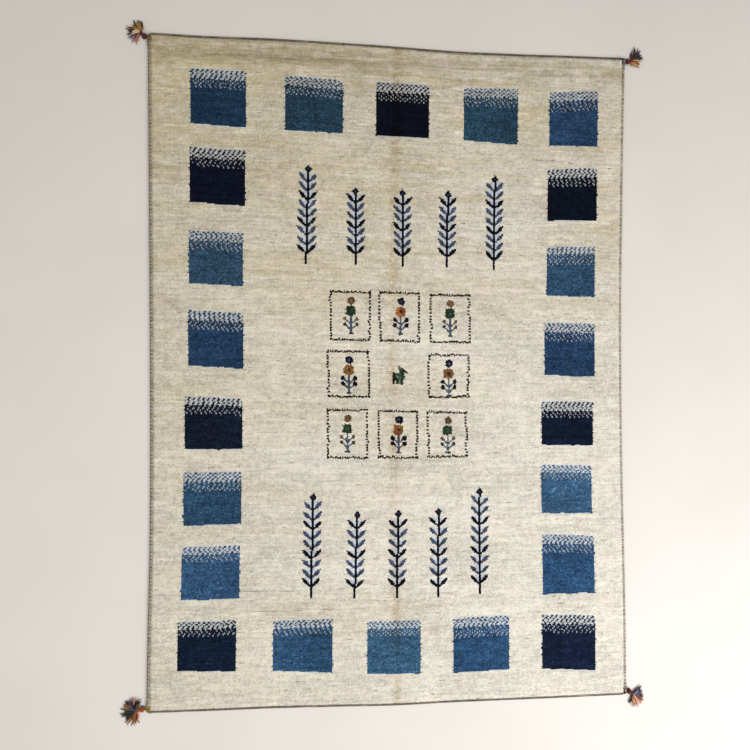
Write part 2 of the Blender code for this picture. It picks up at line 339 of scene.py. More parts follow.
# The camera that the photograph was taken with: place in metres, axes by column, focal length
CAMERA_PLACE = (-0.20675, -0.0041, 1.829)
CAMERA_RIGHT = (0.99679, 0.00209, 0.07998)
CAMERA_UP = (-0.00216, 1.0, 0.00082)
CAMERA_BACK = (-0.07997, -0.00099, 0.9968)
SENSOR_WIDTH = 36.0
CAMERA_LENS = 28.14


# Colours
def linear(colour):
    """A display colour as the amounts of light that it stands for."""
    share = np.asarray(colour, dtype=float) / 255
    return np.where(share <= 0.04045, share / 12.92, ((share + 0.055) / 1.055) ** 2.4)


# Shape of the rug
def reach(table, column, place):
    """The table's value at each place, on a smooth curve through its evenly spaced rows."""
    rows = np.array(table)
    step = rows[1, 0] - rows[0, 0]
    share = np.clip((np.asarray(place) / MM - rows[0, 0]) / step, 0, len(rows) - 1)
    first = np.minimum(share.astype(int), len(rows) - 2)
    t = share - first
    near = [rows[np.clip(first + shift, 0, len(rows) - 1), column] for shift in (-1, 0, 1, 2)]
    before, start, end, after = near
    bend = 2 * start - 2 * end + (end - before) / 2 + (after - start) / 2
    lean = 3 * (end - start) - (end - before) - (after - start) / 2
    return (start + t * (end - before) / 2 + t * t * lean + t * t * t * bend) * MM


def cloth_place(across, along):
    """Where points of the cloth, given on a true rectangle, lie within the real outline."""
    low = -reach(END_REACH, 1, across)
    high = reach(END_REACH, 2, across)
    y = low + (high - low) * (along + NOMINAL_HALF_LENGTH) / (2 * NOMINAL_HALF_LENGTH)
    cord = CORD_WIDTH + PIECE_GAP
    left = -reach(SIDE_REACH, 1, y) + cord
    right = reach(SIDE_REACH, 2, y) - cord
    x = left + (right - left) * (across + NOMINAL_HALF_WIDTH) / (2 * NOMINAL_HALF_WIDTH)
    return x, y


def rounded(distance, rounding):
    """Share of the full height at each distance in from where the pile starts."""
    return np.interp(distance, [step[0] for step in rounding], [step[1] for step in rounding])


def pile_height(across, along, x, y):
    from_side = NOMINAL_HALF_WIDTH - np.abs(across)
    from_end = PILE_HALF_LENGTH - np.abs(along)
    inside = np.minimum(rounded(from_side, SIDE_ROUNDING), rounded(from_end, END_ROUNDING))
    wave = np.sin(2 * math.pi * x / WAVE_LENGTH_ACROSS) * np.cos(2 * math.pi * y / WAVE_LENGTH_ALONG)
    trough = np.maximum(0.0, 1.0 - np.abs(x - FOLD_PLACE) / FOLD_HALF_WIDTH)
    return inside * (THICKNESS + WAVE_HEIGHT * wave - FOLD_DEPTH * trough * trough)


def cloud(draw, shape, row_step, column_step):
    """Smooth noise from -1 to 1 over an array, with cells of a given size."""
    cells = draw.uniform(-1, 1, (int(shape[0] / row_step) + 3, int(shape[1] / column_step) + 3))
    rows = np.arange(shape[0]) / row_step + draw.random()
    columns = np.arange(shape[1]) / column_step + draw.random()
    low_row, low_column = rows.astype(int), columns.astype(int)
    down, right = rows - low_row, columns - low_column
    down = (down * down * (3 - 2 * down))[:, None]
    right = (right * right * (3 - 2 * right))[None, :]
    across = cells[:, low_column] * (1 - right) + cells[:, low_column + 1] * right
    return across[low_row] * (1 - down) + across[low_row + 1] * down


# The weaver's chart: one colour for each knot
def blend(chart, share, colour):
    share = np.clip(share, 0, 1)[..., None]
    return chart * (1 - share) + linear(colour) * share


def ivory_ground(draw):
    """Hand-spun ivory wool, streaky from row to row; darker and more olive towards the top and the left,
    partly in the wool and partly as painted shade.
    """
    shape = (ROWS, KNOTS)
    chart = np.tile(linear(IVORY), (ROWS, KNOTS, 1))
    up = ((np.arange(ROWS) + 0.5) / ROWS)[:, None]
    right = ((np.arange(KNOTS) + 0.5) / KNOTS)[None, :]
    slow = 0.6 * cloud(draw, shape, 60, 90) + 0.4 * cloud(draw, shape, 16, 120)
    streak = 0.5 * cloud(draw, shape, 1.0, 26) + 0.5 * cloud(draw, shape, 2.5, 70)
    # Partly the wool's own olive tone, partly painted shade: the ivory turns darker and more olive
    # towards the top and the left, where less light falls.
    olive_tone_and_painted_shade = 0.24 + 0.62 * up * up - 0.30 * right
    chart = blend(chart, olive_tone_and_painted_shade + (0.16 + 0.22 * up) * slow + (0.14 + 0.30 * up) * streak, OLIVE_IVORY)
    cream = 0.5 * cloud(draw, shape, 1.4, 16) + 0.5 * cloud(draw, shape, 5, 12)
    chart = blend(chart, 1.1 * (cream - 0.22), CREAM)
    dim_band = np.exp(-((up * ROWS - TOP_BAND_ROW) / TOP_BAND_SPREAD) ** 2)
    dim_part = 0.45 + 0.55 * np.exp(-((right * KNOTS - 130) / 90) ** 2)
    chart = blend(chart, dim_band * dim_part * (0.75 + 0.5 * streak), DARK_OLIVE)
    grey = 0.6 * cloud(draw, shape, 1.2, 34) + 0.4 * cloud(draw, shape, 5, 18)
    chart = blend(chart, (0.4 + 0.7 * up) * (grey - 0.34), GREY_IVORY)
    rose = cloud(draw, shape, 4, 9)
    chart = blend(chart, (0.5 + 0.5 * right) * (rose - 0.15), ROSE_IVORY)
    for row, first, last, strength in GREY_ROWS:
        part = chart[row:row + 1, first:last]
        broken = 0.6 + 0.6 * cloud(draw, part.shape[:2], 1.0, 9)
        chart[row:row + 1, first:last] = blend(part, strength * broken, DARK_HAIR)
    for _ in range(HAIR_FLECKS):
        row, column = draw.integers(0, ROWS), draw.integers(0, KNOTS - 6)
        long = draw.integers(1, 6)
        chart[row, column:column + long] = blend(
            chart[row, column:column + long], np.full(long, draw.uniform(0.15, 0.6)), DARK_HAIR)
    return chart


def near_knots(low_column, high_column, low_row, high_row, pad):
    """The slices and the middles of the knots round a box."""
    first, last = max(int(low_column - pad), 0), min(int(high_column + pad) + 1, KNOTS)
    low, high = max(int(low_row - pad), 0), min(int(high_row + pad) + 1, ROWS)
    rows, columns = np.mgrid[low:high, first:last] + 0.5
    return (slice(low, high), slice(first, last)), rows, columns


def stroke(chart, draw, start, end, start_width, end_width, colour, swell=0.0, ragged=0.25):
    """Knots a straight stroke between two places given in knots and rows; its widths are in rows."""
    (column_0, row_0), (column_1, row_1) = start, end
    box, rows, columns = near_knots(
        min(column_0, column_1), max(column_0, column_1), min(row_0, row_1), max(row_0, row_1), 5)
    run = (column_1 - column_0) * KNOT_ASPECT
    rise = row_1 - row_0
    across = (columns - column_0) * KNOT_ASPECT
    up = rows - row_0
    share = np.clip((across * run + up * rise) / (run * run + rise * rise), 0, 1)
    gap = np.hypot(across - share * run, up - share * rise)
    half = (start_width + (end_width - start_width) * share) / 2 + swell * np.sin(math.pi * share)
    chart[box][gap + ragged * draw.uniform(-1, 1, gap.shape) < half] = linear(colour)


def blob(chart, draw, column, row, half_width, half_height, colour,
         lobes=0, lobe_depth=0.0, ragged=0.12):
    """Knots a round or lobed patch; its half sizes are in knots and rows."""
    box, rows, columns = near_knots(
        column - half_width, column + half_width, row - half_height, row + half_height, 3)
    across = (columns - column) / half_width
    up = (rows - row) / half_height
    edge = 1 + lobe_depth * np.cos(lobes * (np.arctan2(up, across) - math.pi / 4))
    gap = np.hypot(across, up) / edge
    chart[box][gap + ragged * draw.uniform(-1, 1, gap.shape) < 1] = linear(colour)


def knot_square(chart, draw, square):
    """One blue square: plain below, then close dots, then open dots towards its top."""
    first, last, foot_left, foot_right, top_left, top_right, open_bands, close_bands, wool = square
    start, stop = int(round(first)), int(round(last))
    wander = 0.5 * cloud(draw, (2, stop - start), 2, 5)
    shifts = np.cumsum(draw.choice([1, 2, 2, 3], 40))
    for column in range(start, stop):
        share = (column + 0.5 - first) / (last - first)
        foot = int(round(foot_left + (foot_right - foot_left) * share + wander[0, column - start]))
        top = int(round(top_left + (top_right - top_left) * share + 0.3 * draw.uniform(-1, 1)))
        border = column in (start, stop - 1)
        for row in range(foot, top):
            band = (top - 1 - row) // BAND_ROWS
            beat = (column + shifts[band]) % DOT_PITCH
            if band < open_bands:
                narrow = (top - 1 - row) % BAND_ROWS and draw.random() < 0.45
                dyed = beat < (1 if narrow else 2) and draw.random() < 0.95
            elif band < open_bands + close_bands:
                dyed = beat > 0 or border or draw.random() < 0.22
            else:
                dyed = True
            if dyed:
                chart[row, column] = linear(wool)
            else:
                taken_up = OPEN_BLEED if band < open_bands else CLOSE_BLEED
                pale = 0.45 * chart[row, column] + 0.55 * linear(BLED_IVORY)
                chart[row, column] = pale * (1 - taken_up) + linear(wool) * taken_up
    for row in range(int(foot_left), int(top_left)):
        for column, outward in ((start, -1), (stop - 1, 1)):
            chance = draw.random()
            if chance < 0.16 and (chart[row, column] == linear(wool)).all():
                chart[row, column + outward] = linear(wool)


def diamond(chart, draw, column, row, half_width, half_height, colour):
    box, rows, columns = near_knots(
        column - half_width, column + half_width, row - half_height, row + half_height, 2)
    gap = np.abs(columns - column) / half_width + np.abs(rows - row) / half_height
    chart[box][gap + 0.1 * draw.uniform(-1, 1, gap.shape) < 1] = linear(colour)


def knot_tree(chart, draw, tree):
    """A stem with pairs of pointed leaves and a diamond at its top."""
    foot, top, low, high, pairs = tree
    pitch = (high - low - 21) / pairs
    for pair in range(pairs):
        root = low + 12 + pitch * pair
        middle = foot + (top - foot) * (root - low) / (high - low)
        wool = TREE_LEAVES[pair % len(TREE_LEAVES)]
        for side in (-1, 1):
            rise = draw.uniform(8.4, 9.8)
            spread = draw.uniform(6.8, 7.8)
            lift = draw.uniform(-0.6, 0.6)
            bend = (middle + side * spread * 0.5, root + lift + rise * 0.42)
            tip = (middle + side * spread, root + lift + rise)
            stroke(chart, draw, (middle + side * 0.5, root + lift), bend, 1.8, 3.4, wool, ragged=0.2)
            stroke(chart, draw, bend, tip, 3.8, 1.4, wool, swell=0.75, ragged=0.2)
    for row in range(int(round(low)), int(round(high - 5))):
        column = int(round(foot + (top - foot) * (row - low) / (high - low) - 1))
        chart[row, column:column + 2] = linear(BLACK_NAVY)
    diamond(chart, draw, top, high - 5.0, 3.3, 4.9, BLACK_NAVY)
    diamond(chart, draw, top, high - 5.0, 1.4, 2.0, TREE_TIP)


def knot_panel_frame(chart, draw, panel):
    """Four dotted sides that waver by a knot."""
    first, last, low, high = panel[:4]
    wool = linear(BLACK_BROWN)
    for place in (first + 1, last - 1):
        row = low + 1.0
        drift = 0.0
        while row < high - 2:
            drift = float(np.clip(drift + draw.uniform(-0.5, 0.5), -0.6, 0.6))
            column = int(round(place + drift - 1))
            start = int(round(row))
            chart[start:start + 2, column:column + 2] = wool
            if draw.random() < 0.5:
                chart[start + 2, column + draw.integers(0, 2)] = wool
            row += draw.choice([3.0, 3.0, 4.0])
    for place in (low + 1.2, high - 2.1):
        drift = 0.0
        for column in range(int(round(first)), int(round(last))):
            drift = float(np.clip(drift + draw.uniform(-0.22, 0.22), -0.5, 0.5))
            level = int(round(place + drift - 1))
            if column % 2:
                step = draw.integers(0, 2)
                chart[level + step:level + step + draw.integers(1, 3), column] = wool
            else:
                chart[level:level + draw.integers(2, 4), column] = wool


def knot_flower(chart, draw, panel):
    """Two blossoms on a forked stem with four buds."""
    high, kind, column = panel[3], panel[4], panel[5]
    top = high - FLOWER_DROP
    wools = FLOWER_WOOLS[kind]
    small = kind == "green"
    stroke(chart, draw, (column, top - 18), (column, top - 40), 2.3, 2.5, STEM_BLUE, ragged=0.15)
    for side in (-1, 1):
        for root, tip in ((-30.0, -25.0), (-36.0, -31.0)):
            reach_out = side * 4.3
            stroke(chart, draw, (column, top + root), (column + reach_out, top + tip), 2.1, 1.9,
                   STEM_BLUE, ragged=0.15)
            bud_size = (1.5, 2.1) if small else (1.9, 2.7)
            bud = wools["bud"] if tip > -28 or not small else LOW_BUD
            blob(chart, draw, column + side * 5.1, top + tip + 0.8, *bud_size, bud)
    stroke(chart, draw, (column - 1.4, top - 40.2), (column + 1.4, top - 40.2), 2.2, 2.2, (52, 56, 74))
    blob(chart, draw, column + 0.3, top - 4.3, 3.1 if small else 3.5, 4.4, wools["upper"])
    blob(chart, draw, column + 0.3, top - 4.3, 1.1, 1.5, wools["upper_heart"])
    wide, tall = (4.4, 5.7) if small else (4.7, 5.6)
    blob(chart, draw, column - 0.2, top - 15.3, wide, tall, wools["lower"], lobes=4, lobe_depth=0.08)
    if not small:
        blob(chart, draw, column + 2.0, top - 15.0, 2.1, 4.2, wools["side"])
    blob(chart, draw, column + 0.2, top - 15.0, 1.5, 2.0, wools["lower_heart"])


def knot_goat(chart, draw):
    column, row = GOAT_CORNER
    for (x0, y0), (x1, y1), start_width, end_width, wool in GOAT:
        stroke(chart, draw, (column + x0, row + y0), (column + x1, row + y1),
               start_width, end_width, wool, ragged=0.1)


def dye_bleed(chart, ground):
    """Ivory knots between dyed ones take up a little blue."""
    dyed = (chart != ground).any(axis=2).astype(float)
    padded = np.pad(dyed, ((1, 1), (BLEED_REACH, BLEED_REACH)))
    rows = padded[:-2] + padded[1:-1] + padded[2:]
    before = sum(rows[:, step:step + KNOTS] for step in range(BLEED_REACH))
    beyond = BLEED_REACH + 1
    after = sum(rows[:, beyond + step:beyond + step + KNOTS] for step in range(BLEED_REACH))
    near = np.minimum(np.minimum(before, after) / BLEED_REACH, 1)
    return blend(chart, np.where(dyed > 0, 0, BLEED * near), BLED_IVORY)


def fold_shade(chart, draw):
    """Painted shade along the fold's crease: the wool is darkened and tinted yellow-brown in a wavering
    band.
    """
    place = (FOLD_PLACE + NOMINAL_HALF_WIDTH) / (2 * NOMINAL_HALF_WIDTH) * KNOTS
    up = ((np.arange(ROWS) + 0.5) / ROWS)[:, None]
    middle = place + FOLD_WANDER * (2 * up - 1) ** 2 - 0.5 * FOLD_WANDER
    middle = middle + 0.8 * cloud(draw, (ROWS, 1), 24, 1)
    columns = (np.arange(KNOTS) + 0.5)[None, :]
    near = np.exp(-((columns - middle) / FOLD_SHADE_WIDTH) ** 2)
    near = near * (0.75 + 0.6 * cloud(draw, (ROWS, KNOTS), 3, 2.5))
    patchy = 0.32 + 0.12 * up + 0.2 * cloud(draw, (ROWS, 1), 26, 1)
    # Painted shade: the crease's darkening multiplies the wool's colour
    tint = 1 - (near * patchy)[..., None] * (1 - linear(FOLD_SHADE_BROWN) / linear(IVORY))
    return chart * tint


def weavers_chart():
    draw = np.random.default_rng(CHART_SEED)
    ground = ivory_ground(draw)
    chart = ground.copy()
    for square in SQUARES:
        knot_square(chart, draw, square)
    for tree in TREES:
        knot_tree(chart, draw, tree)
    chart = dye_bleed(chart, ground)
    for panel in PANELS:
        knot_panel_frame(chart, draw, panel)
        knot_flower(chart, draw, panel)
    knot_goat(chart, draw)
    chart = fold_shade(chart, draw)
    shape = (ROWS, KNOTS)
    dyed = chart @ np.array(LIGHT_WEIGHTS) < DYED_BELOW
    uneven = KNOT_UNEVENNESS * draw.normal(0, 1, shape) * np.where(dyed, DYED_KNOTS, 1.0)
    for row_step, column_step, strength in UNEVEN_WOOL:
        uneven += strength * cloud(draw, shape, row_step, column_step) * np.where(dyed, DYED_PATCHES, 1.0)
    uneven -= 0.65 * np.where(dyed, 0, np.maximum(uneven - LIGHTEST, 0))
    return np.clip(chart * np.exp(uneven)[..., None], 0.003, 0.9)


# Meshes from arrays
def array_mesh(name, points, faces, colours):
    """A mesh from flat arrays; faces of one size, and one colour for each face."""
    mesh = bpy.data.meshes.new(name)
    faces = np.asarray(faces)
    corners = faces.shape[1]
    mesh.vertices.add(len(points))
    mesh.vertices.foreach_set("co", np.ascontiguousarray(points, dtype=np.float32).ravel())
    mesh.loops.add(faces.size)
    mesh.loops.foreach_set("vertex_index", faces.astype(np.int32).ravel())
    mesh.polygons.add(len(faces))
    mesh.polygons.foreach_set("loop_start", np.arange(0, faces.size, corners, dtype=np.int32))
    mesh.update(calc_edges=True)
    paint(mesh, np.repeat(colours, corners, axis=0))
    mesh.shade_smooth()
    return mesh


def paint(mesh, corner_colours):
    layer = mesh.color_attributes.new(name="Wool", type="FLOAT_COLOR", domain="CORNER")
    filled = np.ones((len(corner_colours), 4), dtype=np.float32)
    filled[:, :3] = corner_colours
    layer.data.foreach_set("color", filled.ravel())


def add_piece(name, mesh, material):
    mesh.materials.append(material)
    made = bpy.data.objects.new(name, mesh)
    bpy.context.collection.objects.link(made)
    return made


def grid_faces(rows, columns):
    """Faces of a sheet of points that is rows by columns cells."""
    first = np.arange(rows)[:, None] * (columns + 1) + np.arange(columns)[None, :]
    return np.stack([first, first + 1, first + columns + 2, first + columns + 1], axis=-1).reshape(-1, 4)


def ring_faces(rings, sides):
    """Faces of a tube of rings, each with the given number of points."""
    first = np.arange(rings - 1)[:, None] * sides
    step = np.arange(sides)[None, :]
    after = (step + 1) % sides
    return np.stack([first + step, first + after, first + sides + after, first + sides + step],
                    axis=-1).reshape(-1, 4)


# Pile, with how far its knots stray and its tufts rise
KNOT_JITTER = 0.75 * MM
ROW_JITTER = 0.5 * MM
ROW_WAVER = 0.7 * MM
TUFT_RELIEF = 0.34 * MM
CLUMP_RELIEF = 0.6 * MM
SWELL_RELIEF = 0.35 * MM
HIGHEST_TUFT = 1.2 * MM
SKIRT_FOOT = 2.6 * MM
MAP_MARGIN = 0.001


def pile_corners():
    """Corners of all knots, with a skirt down to the weave round the outside."""
    draw = np.random.default_rng(PILE_SEED)
    across, along = np.meshgrid(
        NOMINAL_HALF_WIDTH * (2 * np.arange(KNOTS + 1) / KNOTS - 1),
        PILE_HALF_LENGTH * (2 * np.arange(ROWS + 1) / ROWS - 1))
    x, y = cloth_place(across, along)
    z = pile_height(across, along, x, y)
    shape = x.shape
    inner = np.zeros(shape)
    inner[1:-1, 1:-1] = 1
    x += inner * KNOT_JITTER * draw.uniform(-1, 1, shape)
    y += inner * (ROW_JITTER * draw.uniform(-1, 1, shape) + ROW_WAVER * cloud(draw, shape, 50, 14))
    z += TUFT_RELIEF * draw.normal(0, 1, shape) + CLUMP_RELIEF * cloud(draw, shape, 3, 4)
    z += SWELL_RELIEF * cloud(draw, shape, 14, 22)
    z = np.minimum(z, THICKNESS + HIGHEST_TUFT)
    points = np.stack([x, y, z], axis=-1)
    points = np.pad(points, ((1, 1), (1, 1), (0, 0)), mode="edge")
    for rim in (points[0], points[-1], points[:, 0], points[:, -1]):
        rim[:, 2] = SKIRT_FOOT
    return points


def strip_maps(mesh, rows, columns, first_row):
    """Adds the knot map, which counts knots and rows, and the map named OFBake, in two halves."""
    row, column = np.divmod(np.arange(rows * columns), columns)
    corner_row = row[:, None] + np.array([0, 0, 1, 1])
    corner_column = column[:, None] + np.array([0, 1, 1, 0])
    knots = mesh.uv_layers.new(name="Knots")
    places = np.stack([corner_column - 1, corner_row + first_row - 1], axis=-1)
    knots.data.foreach_set("uv", places.astype(np.float32).ravel())
    half = columns // 2
    upper = (column >= half)[:, None]
    u = (corner_column - half * upper) / half
    v = 0.5 * upper + MAP_MARGIN + (0.5 - 2 * MAP_MARGIN) * corner_row / rows
    baked = mesh.uv_layers.new(name="OFBake")
    places = np.stack([MAP_MARGIN + (1 - 2 * MAP_MARGIN) * u, v], axis=-1)
    baked.data.foreach_set("uv", places.astype(np.float32).ravel())
    mesh.uv_layers.active = baked
    baked.active_render = True


def make_pile(chart, corners, material):
    """The pile in strips from side to side, one face for each knot."""
    colours = np.pad(chart, ((1, 1), (1, 1), (0, 0)), mode="edge")
    last_row, columns = colours.shape[:2]
    cuts = [1 + round(ROWS * step / STRIPS) for step in range(STRIPS + 1)]
    cuts[0], cuts[-1] = 0, last_row
    strips = []
    for number, (low, high) in enumerate(zip(cuts, cuts[1:]), start=1):
        points = corners[low:high + 1].reshape(-1, 3)
        faces = grid_faces(high - low, columns)
        mesh = array_mesh(f"pile_{number}", points, faces, colours[low:high].reshape(-1, 3))
        strip_maps(mesh, high - low, columns, low)
        strips.append(add_piece(f"pile_{number}", mesh, material))
    return strips


# Tufts that lean out from the pile's rim
RIM_TUFT_PITCH = 1.5 * MM
RIM_LEAN_LEFT = (3.2, 6.4)
RIM_LEAN_RIGHT = (5.4, 8.8)
RIM_LEAN_END = (-0.6, 0.5)
RIM_TUFT_SIDES = 4


def rim_places():
    """Places round the pile's edge with the direction outwards and the chart's place."""
    step_along = int(2 * PILE_HALF_LENGTH / RIM_TUFT_PITCH)
    step_across = int(2 * NOMINAL_HALF_WIDTH / RIM_TUFT_PITCH)
    along = PILE_HALF_LENGTH * (2 * (np.arange(step_along) + 0.5) / step_along - 1)
    across = NOMINAL_HALF_WIDTH * (2 * (np.arange(step_across) + 0.5) / step_across - 1)
    edges = []
    for side in (-1, 1):
        edges.append((np.full(step_along, side * NOMINAL_HALF_WIDTH), along, side, 0))
        edges.append((across, np.full(step_across, side * PILE_HALF_LENGTH), 0, side))
    return edges


def make_rim(chart, material):
    draw = np.random.default_rng(RIM_SEED)
    points, faces, colours = [], [], []
    count = 0
    for across, along, out_x, out_y in rim_places():
        number = len(across)
        slip = draw.uniform(-1.2, 1.2, number) * MM
        inward = draw.uniform(0.3, 3.2, number) * MM
        across = across + slip * abs(out_y) - inward * out_x
        along = along + slip * abs(out_x) - inward * out_y
        x, y = cloth_place(across, along)
        foot = pile_height(across, along, x, y) - 2.2 * MM
        spread = RIM_LEAN_END if out_y else RIM_LEAN_LEFT if out_x < 0 else RIM_LEAN_RIGHT
        lean = draw.uniform(*spread, number) * MM + inward
        swing = draw.uniform(-0.9, 0.9, number) * MM
        rise = draw.uniform(1.2, 2.6, number) * MM
        wide = draw.uniform(0.55, 0.95, number) * MM
        angle = 2 * math.pi * (np.arange(RIM_TUFT_SIDES) + 0.5) / RIM_TUFT_SIDES
        circle = np.stack([np.cos(angle), np.sin(angle)], axis=-1)
        rings = []
        for share, size in ((0.0, 1.0), (0.6, 1.0), (1.0, 0.55)):
            ring = np.zeros((number, RIM_TUFT_SIDES, 3))
            ring[:, :, 0] = (x + out_x * lean * share ** 1.5 + abs(out_y) * swing * share)[:, None]
            ring[:, :, 1] = (y + out_y * lean * share ** 1.5 + abs(out_x) * swing * share)[:, None]
            ring[:, :, 2] = (foot + rise * share)[:, None]
            ring[:, :, :2] += circle[None] * (wide * size)[:, None, None]
            rings.append(ring)
        points.append(np.stack(rings, axis=1).reshape(-1, 3))
        tube = ring_faces(3, RIM_TUFT_SIDES)
        top = np.array([[2 * RIM_TUFT_SIDES + corner for corner in range(RIM_TUFT_SIDES)]])
        tube = np.concatenate([tube, top])
        starts = count + np.arange(number) * 3 * RIM_TUFT_SIDES
        faces.append((starts[:, None, None] + tube[None]).reshape(-1, 4))
        count += number * 3 * RIM_TUFT_SIDES
        column = np.clip((across / NOMINAL_HALF_WIDTH + 1) / 2 * KNOTS, 0, KNOTS - 1).astype(int)
        row = np.clip((along / PILE_HALF_LENGTH + 1) / 2 * ROWS, 0, ROWS - 1).astype(int)
        wool = chart[row, column] * draw.uniform(0.88, 1.08, number)[:, None]
        colours.append(np.repeat(wool, len(tube), axis=0))
    mesh = array_mesh("pile_rim", np.concatenate(points), np.concatenate(faces), np.concatenate(colours))
    return add_piece("pile_rim", mesh, material)


# The weave that the knots are tied into, whose underside shows the pattern
BACK_STEP = 4
BACK_THICKNESS = 3.2 * MM


def make_foundation(chart, material):
    columns, rows = KNOTS // BACK_STEP, ROWS // BACK_STEP
    across = NOMINAL_HALF_WIDTH * (2 * np.arange(columns + 1) / columns - 1)
    along = NOMINAL_HALF_LENGTH * (2 * np.arange(rows + 1) / rows - 1)
    across, along = np.meshgrid(across, along)
    x, y = cloth_place(across, along)
    under = np.stack([x, y, np.zeros_like(x)], axis=-1).reshape(-1, 3)
    rim = np.concatenate([
        np.arange(columns + 1),
        (np.arange(1, rows + 1)) * (columns + 1) + columns,
        rows * (columns + 1) + np.arange(columns - 1, -1, -1),
        np.arange(rows - 1, 0, -1) * (columns + 1)])
    upper = under[rim] + np.array([0.0, 0.0, BACK_THICKNESS])
    mesh = bpy.data.meshes.new("rug_foundation")
    faces = [tuple(face[::-1]) for face in grid_faces(rows, columns).tolist()]
    start = len(under)
    for step in range(len(rim)):
        after = (step + 1) % len(rim)
        faces.append((int(rim[step]), int(rim[after]), start + after, start + step))
    faces.append(tuple(range(start, start + len(rim))))
    mesh.from_pydata(np.concatenate([under, upper]).tolist(), [], faces)
    layer = mesh.color_attributes.new(name="Wool", type="FLOAT_COLOR", domain="POINT")
    soft = chart.reshape(rows, BACK_STEP, columns, BACK_STEP, 3).mean(axis=(1, 3))
    soft = np.pad(soft, ((0, 1), (0, 1), (0, 0)), mode="edge")
    wool = np.ones((len(under) + len(upper), 4), dtype=np.float32)
    wool[:len(under), :3] = soft.reshape(-1, 3) * 0.86
    wool[len(under):, :3] = wool[rim, :3]
    layer.data.foreach_set("color", wool.ravel())
    return add_piece("rug_foundation", mesh, material)


# Woven end strips
HEM_WEFTS = 5
HEM_WOOLS = ((88, 74, 68), (112, 98, 88), (72, 60, 58), (136, 124, 106))


def make_hem(name, end, material):
    """Wefts packed over and under every warp, rounded over the outer edge."""
    draw = np.random.default_rng(HEM_SEED + end)
    columns, rows = 2 * KNOTS, 2 * HEM_WEFTS + 2
    across = NOMINAL_HALF_WIDTH * (2 * np.arange(columns + 1) / columns - 1)
    inward = np.concatenate([[-0.25, -0.1], np.linspace(0.25, HEM_WIDTH / MM + 1.2, rows - 1)]) * MM
    across, inward = np.meshgrid(across, inward)
    along = end * (NOMINAL_HALF_LENGTH - inward)
    x, y = cloth_place(across, along)
    y = y + end * 0.35 * MM * cloud(draw, x.shape, 60, 24)
    weft, warp = np.meshgrid(np.arange(rows + 1), np.arange(columns + 1), indexing="ij")
    over = np.where((weft // 2 + warp // 2) % 2 == 0, 1.0, -1.0)
    ridge = np.where(weft % 2 == 0, 1.0, 0.25)
    z = HEM_THICKNESS - 0.9 * MM + 0.55 * MM * over * ridge + 0.12 * MM * draw.normal(0, 1, x.shape)
    z[0] = 0.3 * MM
    z[1] = 2.4 * MM + 0.2 * MM * over[1]
    points = np.stack([x, y, z], axis=-1).reshape(-1, 3)
    faces = grid_faces(rows, columns)
    if end > 0:
        faces = faces[:, ::-1]
    picked = (cloud(draw, (rows, columns), 2, 14) * 2 + 2).astype(int)
    wools = np.array([linear(wool) for wool in HEM_WOOLS])
    colours = wools[np.clip(picked, 0, 3)] * draw.uniform(0.85, 1.12, (rows, columns))[..., None]
    mesh = array_mesh(name, points, faces, colours.reshape(-1, 3))
    return add_piece(name, mesh, material)


# Side cords, overcast in two colours
TURN = 1.88 * MM
TURNS_PER_COLOUR = 3
CORD_SIDES = 10
DARK_OVERCAST = (70, 58, 58)
PALE_OVERCAST = (164, 150, 122)


def resting_section(sides):
    """Half width and height shares of a round section that is flat where it meets the floor."""
    angle = 2 * math.pi * (np.arange(sides) + 0.5) / sides
    return angle, np.cos(angle), np.maximum(0.44 + 0.56 * np.sin(angle), 0.0)


def cord_middle(side, y):
    """How far across the rug the middle of a side cord lies, at places along it."""
    return side * (reach(SIDE_REACH, 1 if side < 0 else 2, y) - CORD_WIDTH / 2)


def make_side_cord(name, side, material):
    draw = np.random.default_rng(CORD_SEED + side)
    wraps = sorted(row[3] * MM for row in TASSELS if row[1] == side)
    start = wraps[0] + WRAP_HALF_LENGTH - 2 * MM
    end = wraps[1] - WRAP_HALF_LENGTH + 2 * MM
    turns = int((end - start) / TURN)
    rings = 2 * turns + 1
    y = np.linspace(start, end, rings)
    ridge = np.arange(rings) % 2
    size = np.where(ridge == 1, 1.0, 0.87) * (1 + 0.035 * draw.normal(0, 1, rings))
    middle = cord_middle(side, y)
    angle, half, rise = resting_section(CORD_SIDES)
    points = np.zeros((rings, CORD_SIDES, 3))
    points[:, :, 0] = middle[:, None] + np.outer(size, half) * CORD_WIDTH / 2
    slant = 0.55 * TURN * np.cos(angle) * side
    points[:, :, 1] = y[:, None] + slant[None, :]
    points[:, :, 2] = np.outer(size, rise) * CORD_HEIGHT
    faces = ring_faces(rings, CORD_SIDES)
    turn = np.arange(rings - 1) // 2
    dark = (turn // TURNS_PER_COLOUR) % 2 == 0
    wool = np.where(dark[:, None], linear(DARK_OVERCAST), linear(PALE_OVERCAST))
    uneven = draw.uniform(0.82, 1.15, turns + 1)[turn]
    colours = np.repeat(wool * uneven[:, None], CORD_SIDES, axis=0)
    mesh = array_mesh(name, points.reshape(-1, 3), faces, colours)
    return add_piece(name, mesh, material)


# Tassels
YARN_SIDES = 7
YARN_STEP = 2.0 * MM
PLY_TWIST = 760.0
PLY_DEPTH = 0.17
WRAP_TURNS = 9
CORNER_STITCHES = 7
NECK_YARNS = 7
FIBRES_PER_TIP = 3
WRAP_YARN = 1.25 * MM
STITCH_YARN = 1.1 * MM
NECK_YARN = 1.6 * MM
KNOT_YARN = 1.9 * MM


def even_path(path, step):
    """The same path with points at even steps."""
    path = np.asarray(path, dtype=float)
    run = np.concatenate([[0.0], np.cumsum(np.linalg.norm(np.diff(path, axis=0), axis=1))])
    count = max(int(run[-1] / step), 4)
    places = np.linspace(0, run[-1], count + 1)
    return np.stack([np.interp(places, run, path[:, axis]) for axis in range(3)], axis=-1)


